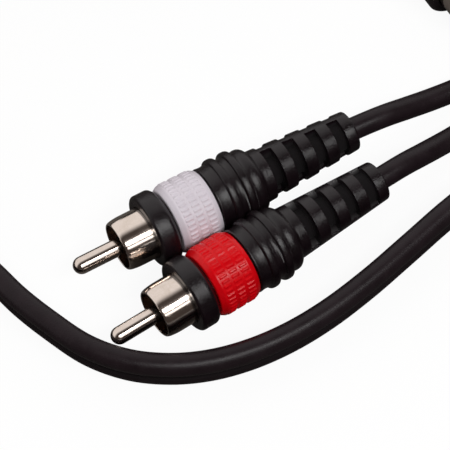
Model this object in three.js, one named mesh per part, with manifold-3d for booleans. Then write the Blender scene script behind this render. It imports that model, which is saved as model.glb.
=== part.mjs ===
// Stereo phono lead: a pair of moulded plugs on single cords at each end of a figure-of-eight twin cord.
// Millimetres, +Z up. The near pair lies on the table with its pins towards -X, and the origin is on
// the table under the middle of that pair. Along a plug, stations are measured from the pin's tip.
import * as THREE from 'three';
import { mergeVertices } from 'three/addons/utils/BufferGeometryUtils.js';
import Module from 'manifold-3d';

const wasm = await Module();
wasm.setup();

// Clearances
const FIT = 0.25;
const CORD_FACE_GAP = 0.3;

// Main sizes of a plug: pin tip to cord end, and the largest radius of its moulded body
const PLUG_LENGTH = 56.9;
const BODY_RADIUS = 6.86;

// Centre pin
const PIN_RADIUS = 1.6;
const PIN_REACH = 8.85;
const PIN_SHANK_RADIUS = 1.2;
const PIN_COLLAR_RADIUS = 2.1;
const PIN_COLLAR_WIDTH = 0.75;
const SOLDER_CUP_LENGTH = 4.0;
const SOLDER_CUP_BORE = 0.7;
const SOLDER_CUP_DEPTH = 3.0;

// Ground shell
const SHELL_RADIUS = BODY_RADIUS - 2.01;
const SHELL_WALL = 0.4;
const SHELL_SHOWN = 5.85;
const SHELL_BURIED = 2.8;
const MOUTH_RADIUS = SHELL_RADIUS - 0.45;
const LIP_LENGTH = 2.0;
const TAIL_WIDTH = 2.4;
const TAIL_LENGTH = 9.5;
const CLAW_WIDTH = 1.6;

// Insulator
const INSULATOR_DEPTH = 2.2;
const INSULATOR_SPIGOT = 1.9;

// Core moulding with its front flange
const FLANGE_FACE_RADIUS = BODY_RADIUS - 0.76;
const FLANGE_WIDTH = 4.05;
const FLANGE_ROUND = 1.1;
const FLANGE_BACK_RADIUS = BODY_RADIUS - 0.86;
const FLANGE_BACK_SLOPE = 1.3;
const SLEEVE_RADIUS = BODY_RADIUS - 1.86;
const SLEEVE_BORE = SLEEVE_RADIUS - 1.2;
const SLEEVE_INSET = 1.8;
const SHELL_EYE_RADIUS = SLEEVE_BORE - 0.9;

// Colour ring
const RING_WIDTH = 8.1;
const RING_BODY_RADIUS = BODY_RADIUS - 0.26;
const RING_FRONT_RADIUS = BODY_RADIUS - 0.86;
const RING_FRONT_SLOPE = 1.4;
const RING_BACK_RADIUS = BODY_RADIUS - 0.71;
const RING_BACK_SLOPE = 1.0;
const PAD_ROWS = 3;
const PADS_ROUND = 16;
const PAD_LENGTH = 1.55;
const PAD_PITCH = 2.05;
const PAD_WIDTH = 1.4;

// Strain relief boot
const BARREL_RADIUS = BODY_RADIUS - 0.58;
const BARREL_LENGTH = 8.4;
const BEAD_WIDTH = 1.5;
const FIRST_BEAD_AT = 3.05;
const BEAD_PITCH = 2.95;
const SHOULDER_LENGTH = 1.3;
const CONE_FRONT_RADIUS = BODY_RADIUS - 1.81;
const CONE_END_WALL = 1.42;
const CONE_END_ROUND = 0.4;
const SLOTS = 4;
const FIRST_SLOT_AT = 1.9;
const LAST_COLLAR = 2.28;
const SLOT_SHARE = 0.485;
const SLOT_FLOOR_WALL = 0.5;
const WEB_WIDTH = 1.4;
const CHAMBER_RADIUS = 3.2;
const CHAMBER_LENGTH = 6.4;

// Cords and wires
const CORD_DIAMETER = 4.2;
const JACKET_PAST_CHAMBER = 1.0;
const CORE_INSULATION_RADIUS = 0.85;
const CORE_COPPER_RADIUS = 0.4;
const PIGTAIL_RADIUS = 0.5;
const PIGTAIL_LAP = 2.4;
const PIGTAIL_DROP = 1.6;
const TWIN_LEAN = 10;
const TWIN_GROOVE = 80;
const TWIN_REST = 0.03;

// How the near pair lies
const PLUG_GAP = 0.25;
const PAIR_STAGGER = 1.7;
const PAIR_TOE_IN = 2.1;
const NEAR_WHITE_ROLL = 59;
const NEAR_RED_ROLL = 24;

// The far pair, the coil and the cords are placed for plugs of this length, and spread out with it
const LAYOUT_PLUG_LENGTH = 56.9;

// Where the far pair lies: the middle of each ring, and the direction from pin to cord
const FAR_WHITE_AT = [64.6, 29.4];
const FAR_WHITE_YAW = 88.6;
const FAR_WHITE_ROLL = 10;
const FAR_RED_AT = [79.0, 31.9];
const FAR_RED_YAW = 90.4;
const FAR_RED_ROLL = 68;

// Coil: two turns side by side and one on top of them, just clear of the table the plugs rest on
const COIL_AT = [33.95, 93.4];
const COIL_MIDDLE_RADIUS = 32.1;
const COIL_LIFT = 0.9;
const TIE_SLACK = 0.7;
const TIE_WALL = 0.5;
const TIE_WIDTH = 7.0;
const TIE_BEARING = 112.5;

// Faces round each turned piece, and steps along each swept one
const PIN_SIDES = 10;
const SHELL_SIDES = 16;
const MOULDING_SIDES = 14;
const CORD_SIDES = 8;
const PIGTAIL_SIDES = 6;
const TWIN_ARC_STEPS = 4;
const COIL_SIDES = 24;
const NEAR_TAIL_STEPS = 9;
const FAR_WHITE_TAIL_STEPS = 5;
const FAR_RED_TAIL_STEPS = 6;
const TWIN_STEPS = 30;
const PIGTAIL_STEPS = 4;

// Stations along a plug
const MOUTH_AT = PIN_REACH;
const FLANGE_AT = MOUTH_AT + SHELL_SHOWN;
const SHELL_END = FLANGE_AT + SHELL_BURIED;
const INSULATOR_AT = SHELL_END - SHELL_WALL - FIT - INSULATOR_DEPTH;
const SPIGOT_END = INSULATOR_AT + INSULATOR_DEPTH + INSULATOR_SPIGOT;
const CUP_END = SPIGOT_END + FIT + PIN_COLLAR_WIDTH + SOLDER_CUP_LENGTH;
const SLEEVE_AT = FLANGE_AT + FLANGE_WIDTH;
const RING_AT = SLEEVE_AT + FIT;
const RING_MIDDLE = RING_AT + RING_WIDTH / 2;
const BOOT_AT = RING_AT + RING_WIDTH + FIT;
const SHOULDER_AT = BOOT_AT + BARREL_LENGTH;
const CONE_AT = SHOULDER_AT + SHOULDER_LENGTH;
const BOOT_END = PLUG_LENGTH;
const CONE_LENGTH = BOOT_END - CONE_AT;
const SLOT_PITCH = (CONE_LENGTH - FIRST_SLOT_AT - LAST_COLLAR) / (SLOTS - 1 + SLOT_SHARE);
const SLOT_WIDTH = SLOT_SHARE * SLOT_PITCH;
const CHAMBER_END = BOOT_AT + CHAMBER_LENGTH;
const JACKET_AT = CHAMBER_END + JACKET_PAST_CHAMBER;
const CORD_RADIUS = CORD_DIAMETER / 2;
const CORD_BORE = CORD_RADIUS + FIT;
const TWIN_HEIGHT = 2 * CORD_DIAMETER;
const SPREAD = PLUG_LENGTH / LAYOUT_PLUG_LENGTH;

const deg = THREE.MathUtils.degToRad;

// Welds a geometry into one closed body with its faces outwards, without empty triangles
function weld(geometry) {
  const source = geometry.clone();
  source.deleteAttribute('normal');
  source.deleteAttribute('uv');
  const merged = mergeVertices(source, 1e-4);
  const index = merged.index.array;
  const position = merged.attributes.position;
  const kept = [];
  const corners = [new THREE.Vector3(), new THREE.Vector3(), new THREE.Vector3()];
  let volume = 0;
  for (let i = 0; i < index.length; i += 3) {
    const [a, b, c] = index.slice(i, i + 3);
    if (a === b || b === c || c === a) continue;
    kept.push(a, b, c);
    [a, b, c].forEach((v, k) => corners[k].fromBufferAttribute(position, v));
    volume += corners[0].dot(corners[1].cross(corners[2]));
  }
  merged.setIndex(volume < 0 ? kept.reverse() : kept);
  return merged;
}

function toManifold(geometry) {
  const welded = weld(geometry);
  return new wasm.Manifold(new wasm.Mesh({
    numProp: 3,
    vertProperties: Float32Array.from(welded.attributes.position.array),
    triVerts: Uint32Array.from(welded.index.array),
  }));
}

function fromManifold(body) {
  const mesh = body.getMesh();
  const geometry = new THREE.BufferGeometry();
  geometry.setAttribute('position', new THREE.BufferAttribute(Float32Array.from(mesh.vertProperties), 3));
  geometry.setIndex(Array.from(mesh.triVerts));
  return geometry;
}

// Turns a profile of [station, radius] points about the plug's axis, which is +X
function revolve(profile, sides) {
  const points = profile.map(([station, radius]) => new THREE.Vector2(radius, station));
  return new THREE.LatheGeometry(points, sides).rotateZ(-Math.PI / 2);
}

// A turned piece with a hole along its axis: the profile closes on itself
function revolveRing(profile, sides) {
  return revolve([...profile, profile[0]], sides);
}

// Points of an arc in a profile, from one angle to another in degrees
function arc(station, radius, reachAlong, reachOut, from, to, count) {
  const points = [];
  for (let i = 0; i <= count; i++) {
    const angle = deg(from + ((to - from) * i) / count);
    points.push([station + reachAlong * Math.cos(angle), radius + reachOut * Math.sin(angle)]);
  }
  return points;
}

function block(width, depth, height, x, y, z) {
  return new THREE.BoxGeometry(width, depth, height).translate(x, y, z);
}

function makeCentrePin() {
  const shankAt = SPIGOT_END - INSULATOR_SPIGOT;
  const collarAt = SPIGOT_END + FIT;
  const cupAt = collarAt + PIN_COLLAR_WIDTH;
  return revolve([
    ...arc(PIN_RADIUS, 0, PIN_RADIUS, PIN_RADIUS, 180, 90, 3),
    [shankAt, PIN_RADIUS],
    [shankAt, PIN_SHANK_RADIUS],
    [collarAt, PIN_SHANK_RADIUS],
    [collarAt, PIN_COLLAR_RADIUS],
    [cupAt, PIN_COLLAR_RADIUS],
    [cupAt, PIN_SHANK_RADIUS],
    [CUP_END, PIN_SHANK_RADIUS],
    [CUP_END, SOLDER_CUP_BORE],
    [CUP_END - SOLDER_CUP_DEPTH, SOLDER_CUP_BORE],
    [CUP_END - SOLDER_CUP_DEPTH, 0],
  ], PIN_SIDES);
}

// A drawn cup with a rolled-in mouth, and a crimp tail bent back from its floor
function makeGroundShell() {
  const roll = SHELL_RADIUS - MOUTH_RADIUS;
  const inner = SHELL_RADIUS - SHELL_WALL;
  const lipEnd = MOUTH_AT + LIP_LENGTH;
  const cup = revolveRing([
    ...arc(lipEnd, MOUTH_RADIUS, LIP_LENGTH, roll, 180, 90, 2),
    [SHELL_END, SHELL_RADIUS],
    [SHELL_END, SHELL_EYE_RADIUS],
    [SHELL_END - SHELL_WALL, SHELL_EYE_RADIUS],
    [SHELL_END - SHELL_WALL, inner],
    ...arc(lipEnd, MOUTH_RADIUS - SHELL_WALL, LIP_LENGTH - SHELL_WALL / 2, roll, 90, 180, 2),
  ], SHELL_SIDES);
  const tailTop = -SHELL_EYE_RADIUS - SHELL_WALL / 2;
  const tailFrom = SHELL_END - SHELL_WALL;
  const tail = block(TAIL_LENGTH, TAIL_WIDTH, SHELL_WALL, tailFrom + TAIL_LENGTH / 2, 0, tailTop);
  const clawAt = tailFrom + TAIL_LENGTH - CLAW_WIDTH;
  const claw = revolveRing([
    [clawAt, SHELL_EYE_RADIUS],
    [clawAt, SHELL_EYE_RADIUS + SHELL_WALL],
    [clawAt + CLAW_WIDTH, SHELL_EYE_RADIUS + SHELL_WALL],
    [clawAt + CLAW_WIDTH, SHELL_EYE_RADIUS],
  ], PIN_SIDES);
  const lowerHalf = block(4 * CLAW_WIDTH, 4 * SHELL_RADIUS, 2 * SHELL_RADIUS, clawAt, 0, -SHELL_RADIUS);
  const halfClaw = toManifold(claw).intersect(toManifold(lowerHalf));
  return fromManifold(toManifold(cup).add(toManifold(tail)).add(halfClaw));
}

function makeInsulator() {
  const front = INSULATOR_AT;
  const step = front + INSULATOR_DEPTH;
  const outer = SHELL_RADIUS - SHELL_WALL - FIT;
  return revolveRing([
    [front, PIN_RADIUS + FIT],
    [front, outer],
    [step, outer],
    [step, SHELL_EYE_RADIUS - FIT],
    [SPIGOT_END, SHELL_EYE_RADIUS - FIT],
    [SPIGOT_END, PIN_SHANK_RADIUS + FIT],
    [step + FIT, PIN_SHANK_RADIUS + FIT],
    [step + FIT, PIN_RADIUS + FIT],
  ], PIN_SIDES);
}

function makeCoreMoulding() {
  const pocketEnd = SHELL_END + FIT;
  const sleeveEnd = BOOT_AT + SLEEVE_INSET;
  const corner = BODY_RADIUS - FLANGE_FACE_RADIUS;
  return revolveRing([
    [FLANGE_AT, SHELL_RADIUS + FIT],
    ...arc(FLANGE_AT + FLANGE_ROUND, FLANGE_FACE_RADIUS, FLANGE_ROUND, corner, 180, 90, 2),
    [SLEEVE_AT - FLANGE_BACK_SLOPE, BODY_RADIUS],
    [SLEEVE_AT, FLANGE_BACK_RADIUS],
    [SLEEVE_AT, SLEEVE_RADIUS],
    [sleeveEnd, SLEEVE_RADIUS],
    [sleeveEnd, SLEEVE_BORE],
    [pocketEnd, SLEEVE_BORE],
    [pocketEnd, SHELL_RADIUS + FIT],
  ], SHELL_SIDES);
}

// A plain ring with rows of small raised pads to grip it by
function makeColourRing() {
  const back = RING_AT + RING_WIDTH;
  const bore = SLEEVE_RADIUS + FIT;
  let ring = toManifold(revolveRing([
    [RING_AT, bore],
    [RING_AT, RING_FRONT_RADIUS],
    [RING_AT + RING_FRONT_SLOPE, RING_BODY_RADIUS],
    [back - RING_BACK_SLOPE, RING_BODY_RADIUS],
    [back, RING_BACK_RADIUS],
    [back, bore],
  ], PADS_ROUND));
  const rootRadius = (bore + RING_FRONT_RADIUS) / 2;
  const rise = BODY_RADIUS - rootRadius;
  const firstPad = RING_MIDDLE - ((PAD_ROWS - 1) * PAD_PITCH) / 2;
  const pads = [];
  for (let row = 0; row < PAD_ROWS; row++) {
    for (let i = 0; i < PADS_ROUND; i++) {
      const pad = block(PAD_LENGTH, PAD_WIDTH, rise, firstPad + row * PAD_PITCH, 0, rootRadius + rise / 2);
      pads.push(toManifold(pad.rotateX((2 * Math.PI * (i + 0.5)) / PADS_ROUND)));
    }
  }
  for (const pad of pads) ring = ring.add(pad);
  return fromManifold(ring);
}

// One round bead of the boot's barrel
function bead(middle) {
  return arc(middle, BARREL_RADIUS, BEAD_WIDTH / 2, BODY_RADIUS - BARREL_RADIUS, 180, 0, 3);
}

// The boot: a barrel with two beads and a slotted cone whose rings are tied by two long webs
function makeBoot() {
  const socketEnd = BOOT_AT + SLEEVE_INSET + FIT;
  const endRadius = CORD_BORE + CONE_END_WALL;
  const slotFloor = CORD_BORE + SLOT_FLOOR_WALL;
  const body = toManifold(revolveRing([
    [BOOT_AT, SLEEVE_RADIUS + FIT],
    [BOOT_AT, BARREL_RADIUS],
    ...bead(BOOT_AT + FIRST_BEAD_AT),
    ...bead(BOOT_AT + FIRST_BEAD_AT + BEAD_PITCH),
    [SHOULDER_AT, BARREL_RADIUS],
    ...arc(SHOULDER_AT, CONE_FRONT_RADIUS, SHOULDER_LENGTH, BARREL_RADIUS - CONE_FRONT_RADIUS, 60, 0, 2),
    [BOOT_END - CONE_END_ROUND, endRadius],
    [BOOT_END, endRadius - CONE_END_ROUND],
    [BOOT_END, CORD_BORE],
    [CHAMBER_END, CORD_BORE],
    [CHAMBER_END, CHAMBER_RADIUS],
    [socketEnd, CHAMBER_RADIUS],
    [socketEnd, SLEEVE_RADIUS + FIT],
  ], MOULDING_SIDES));
  const webs = toManifold(block(2 * CONE_LENGTH, 4 * CONE_FRONT_RADIUS, WEB_WIDTH, BOOT_END, 0, 0));
  let boot = body;
  for (let i = 0; i < SLOTS; i++) {
    const slotAt = CONE_AT + FIRST_SLOT_AT + i * SLOT_PITCH;
    const slot = toManifold(revolveRing([
      [slotAt, slotFloor],
      [slotAt, 2 * CONE_FRONT_RADIUS],
      [slotAt + SLOT_WIDTH, 2 * CONE_FRONT_RADIUS],
      [slotAt + SLOT_WIDTH, slotFloor],
    ], MOULDING_SIDES));
    boot = boot.subtract(slot.subtract(webs));
  }
  return fromManifold(boot);
}

function makeInnerConductor() {
  const stripped = CUP_END + FIT;
  const tip = CUP_END - SOLDER_CUP_DEPTH + FIT;
  const end = JACKET_AT - CORD_FACE_GAP;
  return revolve([
    [tip, 0],
    [tip, CORE_COPPER_RADIUS],
    [stripped, CORE_COPPER_RADIUS],
    [stripped, CORE_INSULATION_RADIUS],
    [end, CORE_INSULATION_RADIUS],
    [end, 0],
  ], CORD_SIDES);
}

// Regular outline of a round cord or wire
function roundOutline(radius, sides) {
  const points = [];
  for (let i = 0; i < sides; i++) {
    const angle = (2 * Math.PI * (i + 0.5)) / sides;
    points.push(new THREE.Vector2(radius * Math.cos(angle), radius * Math.sin(angle)));
  }
  return points;
}

// Outline of the two cords side by side, long way along the outline's x, which a flat route stands
// upright, and turned by the lean of the cord's top away from the plugs
function twinOutline() {
  const points = [];
  const middle = new THREE.Vector2();
  const sweepOfArc = 360 - TWIN_GROOVE;
  for (const side of [1, -1]) {
    for (let i = 0; i <= TWIN_ARC_STEPS; i++) {
      const angle = deg(sweepOfArc * (i / TWIN_ARC_STEPS - 0.5));
      const x = CORD_RADIUS + CORD_RADIUS * Math.cos(angle);
      const point = new THREE.Vector2(side * x, side * CORD_RADIUS * Math.sin(angle));
      points.push(point.rotateAround(middle, deg(-TWIN_LEAN)));
    }
  }
  return points;
}

// A section swept along a smooth route
function sweep(route, outline, steps) {
  const path = new THREE.CatmullRomCurve3(route.map((point) => new THREE.Vector3(...point)));
  const options = { steps, extrudePath: path, bevelEnabled: false };
  return new THREE.ExtrudeGeometry(new THREE.Shape(outline), options);
}

function makeShieldPigtail() {
  const soldered = SHELL_EYE_RADIUS - FIT - PIGTAIL_RADIUS;
  const tailEnd = SHELL_END - SHELL_WALL + TAIL_LENGTH;
  return sweep([
    [tailEnd - PIGTAIL_LAP, 0, -soldered],
    [tailEnd, 0, -soldered],
    [(tailEnd + JACKET_AT) / 2, 0, -(soldered + PIGTAIL_DROP) / 2],
    [JACKET_AT - CORD_FACE_GAP, 0, -PIGTAIL_DROP],
  ], roundOutline(PIGTAIL_RADIUS, PIGTAIL_SIDES), PIGTAIL_STEPS);
}

// Finishes
const nickel = { color: 0xc9bdb2, metalness: 1.0, roughness: 0.22 };
const darkInsulator = { color: 0x1c1513, metalness: 0.0, roughness: 0.55 };
const blackMoulding = { color: 0x231f21, metalness: 0.0, roughness: 0.5 };
const whiteRing = { color: 0xe2dce2, metalness: 0.0, roughness: 0.5 };
const redRing = { color: 0xc8101a, metalness: 0.0, roughness: 0.4 };
const copper = { color: 0xb87045, metalness: 1.0, roughness: 0.35 };
const wireInsulation = { color: 0xd8d2c4, metalness: 0.0, roughness: 0.6 };
const blackJacket = { color: 0x201d1f, metalness: 0.0, roughness: 0.55 };
const tieStrap = { color: 0x2c2a2a, metalness: 0.0, roughness: 0.8 };

const lead = new THREE.Group();

function addMesh(parent, name, geometry, finish) {
  const mesh = new THREE.Mesh(weld(geometry), new THREE.MeshStandardMaterial(finish));
  mesh.geometry.computeVertexNormals();
  mesh.name = name;
  parent.add(mesh);
}

// A plug lying on the table: the middle of its ring, its direction from pin to cord, its roll
function addPlug(parent, name, [x, y], height, yaw, roll, ringFinish) {
  const place = new THREE.Group();
  place.position.set(x, y, height);
  place.rotation.z = deg(yaw);
  const plug = new THREE.Group();
  plug.position.x = -RING_MIDDLE;
  plug.rotation.x = deg(roll);
  place.add(plug);
  parent.add(place);
  addMesh(plug, `${name}_centre_pin`, makeCentrePin(), nickel);
  addMesh(plug, `${name}_ground_shell`, makeGroundShell(), nickel);
  addMesh(plug, `${name}_insulator`, makeInsulator(), darkInsulator);
  addMesh(plug, `${name}_core_moulding`, makeCoreMoulding(), blackMoulding);
  addMesh(plug, `${name}_colour_ring`, makeColourRing(), ringFinish);
  addMesh(plug, `${name}_boot`, makeBoot(), blackMoulding);
  addMesh(plug, `${name}_inner_conductor`, makeInnerConductor(), wireInsulation);
  addMesh(plug, `${name}_shield_pigtail`, makeShieldPigtail(), copper);
}

// Point on a plug's axis at a station
function onAxis([x, y], height, yaw, station) {
  const reach = station - RING_MIDDLE;
  return [x + reach * Math.cos(deg(yaw)), y + reach * Math.sin(deg(yaw)), height];
}

// The rings of the near pair lie side by side, toed in towards their cords
const ringSpacing = 2 * BODY_RADIUS + PLUG_GAP;
const pair = new THREE.Group();
addPlug(pair, 'near_white', [PAIR_STAGGER / 2, ringSpacing / 2], 0, -PAIR_TOE_IN, NEAR_WHITE_ROLL, whiteRing);
addPlug(pair, 'near_red', [-PAIR_STAGGER / 2, -ringSpacing / 2], 0, PAIR_TOE_IN, NEAR_RED_ROLL, redRing);
pair.updateMatrixWorld(true);
const pairBox = new THREE.Box3().setFromObject(pair, true);
const pairMiddle = pairBox.getCenter(new THREE.Vector3());
const axisHeight = -pairBox.min.z;
pair.position.set(-pairMiddle.x, -pairMiddle.y, axisHeight);
lead.add(pair);
const nearWhiteAt = [PAIR_STAGGER / 2 - pairMiddle.x, ringSpacing / 2 - pairMiddle.y];
const nearRedAt = [-PAIR_STAGGER / 2 - pairMiddle.x, -ringSpacing / 2 - pairMiddle.y];

// A place of the layout, spread out with the length of the plugs
function laidOut([x, y, ...height]) {
  return [x * SPREAD, y * SPREAD, ...height];
}

const farWhiteAt = laidOut(FAR_WHITE_AT);
const farRedAt = laidOut(FAR_RED_AT);
const coilAt = laidOut(COIL_AT);
addPlug(lead, 'far_white', farWhiteAt, axisHeight, FAR_WHITE_YAW, FAR_WHITE_ROLL, whiteRing);
addPlug(lead, 'far_red', farRedAt, axisHeight, FAR_RED_YAW, FAR_RED_ROLL, redRing);

// Routes of the cords. The near tails fall from the boots to the table and come together one above
// the other, where the twin cord starts
const nearWhiteRoute = [
  [36.0, 5.35, 6.35], [41.3, 5.3, 4.8], [46.5, 5.3, 3.2], [51.7, 5.1, 2.25], [58.0, 4.5, 2.13],
  [64.0, 2.9, 2.13], [67.0, 1.6, 2.13], [69.3, 0.75, 2.13],
];
const nearRedRoute = [
  [33.3, -5.2, 6.35], [38.3, -4.5, 4.8], [42.5, -3.8, 3.3], [46.5, -3.3, 2.4], [52.0, -2.8, 2.3],
  [58.0, -2.0, 3.4], [64.0, -0.6, 5.6], [67.0, 0.0, 6.4], [69.3, 0.3, 6.6],
];
const twinRoute = [
  [70.0, 0.4], [77.2, -1.2], [83.0, -5.7], [86.4, -12.2], [86.7, -19.6], [83.9, -26.4], [78.5, -31.3],
  [71.5, -33.5], [64.2, -32.6], [58.0, -28.6], [51.1, -20.5], [47.2, -17.4], [42.5, -16.1],
  [35.3, -17.0], [25.1, -19.15], [15.1, -21.2], [5.7, -22.5], [-2.7, -22.7], [-10.3, -21.8],
  [-17.1, -19.85], [-23.2, -16.75], [-28.75, -12.25], [-33.2, -6.1], [-36.3, 1.9], [-38.3, 8.7],
  [-39.3, 14.0], [-40.4, 20.3], [-40.5, 27.0], [-39.6, 34.0], [-37.5, 41.0], [-34.6, 48.1],
  [-30.8, 55.1], [-24.4, 65.3], [-18.0, 75.4], [-11.5, 85.5], [-4.6, 96.4],
].map(([x, y]) => [x, y, CORD_DIAMETER + TWIN_REST]);
const farWhiteRoute = [[65.5, 66.0, 7.2], [65.65, 68.6, 8.1], [65.8, 71.8, 9.3]];
const farRedRoute = [
  [78.8, 69.5, 7.0], [78.7, 73.0, 7.4], [77.2, 79.5, 8.9], [73.5, 88.5, 11.6], [70.6, 94.3, 13.4],
];

// A single cord: straight inside its plug's boot, then along its route
function addTail(name, plugAt, yaw, route, steps) {
  const inside = [JACKET_AT, (JACKET_AT + BOOT_END) / 2, BOOT_END]
    .map((station) => onAxis(plugAt, axisHeight, yaw, station));
  const outline = roundOutline(CORD_RADIUS, CORD_SIDES);
  addMesh(lead, name, sweep([...inside, ...route.map(laidOut)], outline, steps), blackJacket);
}

addTail('near_white_tail', nearWhiteAt, -PAIR_TOE_IN, nearWhiteRoute, NEAR_TAIL_STEPS);
addTail('near_red_tail', nearRedAt, PAIR_TOE_IN, nearRedRoute, NEAR_TAIL_STEPS);
addTail('far_white_tail', farWhiteAt, FAR_WHITE_YAW, farWhiteRoute, FAR_WHITE_TAIL_STEPS);
addTail('far_red_tail', farRedAt, FAR_RED_YAW, farRedRoute, FAR_RED_TAIL_STEPS);
addMesh(lead, 'twin_cord', sweep(twinRoute.map(laidOut), twinOutline(), TWIN_STEPS), blackJacket);

// The coil's outer shape, and the band round it
function upright(profile, sides) {
  const points = profile.map(([radius, height]) => new THREE.Vector2(radius, height));
  return new THREE.LatheGeometry([...points, points[0]], sides).rotateX(Math.PI / 2);
}

function makeCoil() {
  const lower = COIL_LIFT + TWIN_HEIGHT;
  const top = lower + TWIN_HEIGHT;
  return upright([
    [COIL_MIDDLE_RADIUS - CORD_DIAMETER, COIL_LIFT],
    [COIL_MIDDLE_RADIUS + CORD_DIAMETER, COIL_LIFT],
    [COIL_MIDDLE_RADIUS + CORD_DIAMETER, lower - CORD_RADIUS],
    [COIL_MIDDLE_RADIUS + CORD_RADIUS, lower],
    [COIL_MIDDLE_RADIUS + CORD_RADIUS, top],
    [COIL_MIDDLE_RADIUS - CORD_RADIUS, top],
    [COIL_MIDDLE_RADIUS - CORD_RADIUS, lower],
    [COIL_MIDDLE_RADIUS - CORD_DIAMETER, lower - CORD_RADIUS],
  ], COIL_SIDES).translate(...coilAt, 0);
}

// The tie is a band round the coil's section, cut from a larger and a smaller block
function makeTie() {
  const band = (grow, width) => {
    const across = 2 * (CORD_DIAMETER + TIE_SLACK + grow);
    const tall = 2 * (TWIN_HEIGHT + FIT + grow);
    return block(across, width, tall, COIL_MIDDLE_RADIUS, 0, COIL_LIFT + TWIN_HEIGHT);
  };
  const tie = toManifold(band(TIE_WALL, TIE_WIDTH)).subtract(toManifold(band(0, 2 * TIE_WIDTH)));
  return fromManifold(tie).rotateZ(deg(TIE_BEARING)).translate(...coilAt, 0);
}

addMesh(lead, 'cord_coil', makeCoil(), blackJacket);
addMesh(lead, 'coil_tie', makeTie(), tieStrap);

export default lead;
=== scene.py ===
"""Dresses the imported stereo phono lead: turned plugs, ribbed grip rings, slotted boots and its cords."""

import logging
import math
from collections.abc import Callable
from dataclasses import dataclass, field
from enum import Enum

import bpy
from mathutils import Matrix, Vector


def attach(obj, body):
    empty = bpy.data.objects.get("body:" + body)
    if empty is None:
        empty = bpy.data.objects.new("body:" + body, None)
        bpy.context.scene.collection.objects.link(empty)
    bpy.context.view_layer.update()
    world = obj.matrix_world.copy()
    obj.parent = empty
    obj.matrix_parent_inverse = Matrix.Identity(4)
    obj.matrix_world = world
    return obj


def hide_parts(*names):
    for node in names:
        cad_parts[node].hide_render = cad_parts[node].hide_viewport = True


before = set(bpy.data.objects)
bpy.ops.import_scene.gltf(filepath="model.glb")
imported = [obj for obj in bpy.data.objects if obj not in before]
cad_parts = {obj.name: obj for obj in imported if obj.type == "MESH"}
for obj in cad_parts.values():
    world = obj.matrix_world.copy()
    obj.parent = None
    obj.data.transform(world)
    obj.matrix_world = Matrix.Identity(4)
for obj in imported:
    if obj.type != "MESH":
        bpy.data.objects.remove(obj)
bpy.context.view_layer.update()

MM = 0.001
BODY = "root"
LOG = logging.getLogger("stereo_lead")
# Where a Mix node keeps its two colours among its inputs, and the mixed colour among its outputs
MIX_FIRST, MIX_SECOND, MIX_RESULT = 6, 7, 2

Point2 = tuple[float, float]
Point3 = tuple[float, float, float]
Colour = tuple[float, float, float]
GroupInputs = dict[str, tuple[str, object]]


class Slot(Enum):
    """Material slots of the record."""

    NICKEL = "nickel"
    DARK_INSULATOR = "dark_insulator"
    BLACK_MOULDING = "black_moulding"
    WHITE_RING = "white_ring"
    RED_RING = "red_ring"
    WIRE_INSULATION = "wire_insulation"
    COPPER = "copper"
    BLACK_JACKET = "black_jacket"
    TIE_STRAP = "tie_strap"


class Channel(Enum):
    """The audio channel of a plug, told by the colour of its ring."""

    WHITE = Slot.WHITE_RING
    RED = Slot.RED_RING


class FarEnd(Enum):
    OBJECT = "object"
    PLUG = "plug"


# Node helpers


def add_node(tree: bpy.types.NodeTree, kind: str, x: float, y: float, **settings: object) -> bpy.types.Node:
    """Adds a node at a place in the tree.

    Args:
        tree: The tree the node goes into.
        kind: Blender's name of the node type.
        x: Place across the tree.
        y: Place up the tree.
        settings: Properties to set on the node.

    Returns:
        The new node.
    """
    node = tree.nodes.new(kind)
    node.location = (x, y)
    for name, value in settings.items():
        setattr(node, name, value)
    return node


def set_inputs(node: bpy.types.Node, **values: object) -> None:
    """Sets default values of a node's inputs; an underscore in a name stands for a space."""
    for name, value in values.items():
        node.inputs[name.replace("_", " ")].default_value = value


def clean_material(name: str) -> tuple[bpy.types.Material, bpy.types.Node]:
    """Makes a material holding only a Principled shader and its output.

    Args:
        name: Name of the material.

    Returns:
        The material and its Principled shader.
    """
    material = bpy.data.materials.new(name)
    material.use_nodes = True
    tree = material.node_tree
    tree.nodes.clear()
    output = add_node(tree, "ShaderNodeOutputMaterial", 600, 0)
    shader = add_node(tree, "ShaderNodeBsdfPrincipled", 300, 0)
    tree.links.new(shader.outputs["BSDF"], output.inputs["Surface"])
    return material, shader


def grouped_material(
    name: str, group: bpy.types.NodeTree, **values: object
) -> tuple[bpy.types.Material, bpy.types.Node, bpy.types.Node]:
    """Makes a material that takes its colour, roughness and normal from a shader group.

    Args:
        name: Name of the material.
        group: The shader group.
        values: The group's inputs; an underscore in a name stands for a space.

    Returns:
        The material, its Principled shader and the group's node.
    """
    material, shader = clean_material(name)
    surface = add_node(material.node_tree, "ShaderNodeGroup", 0, 0, node_tree=group)
    set_inputs(surface, **values)
    for given, taken in (("Colour", "Base Color"), ("Roughness", "Roughness"), ("Normal", "Normal")):
        material.node_tree.links.new(surface.outputs[given], shader.inputs[taken])
    return material, shader, surface


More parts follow.
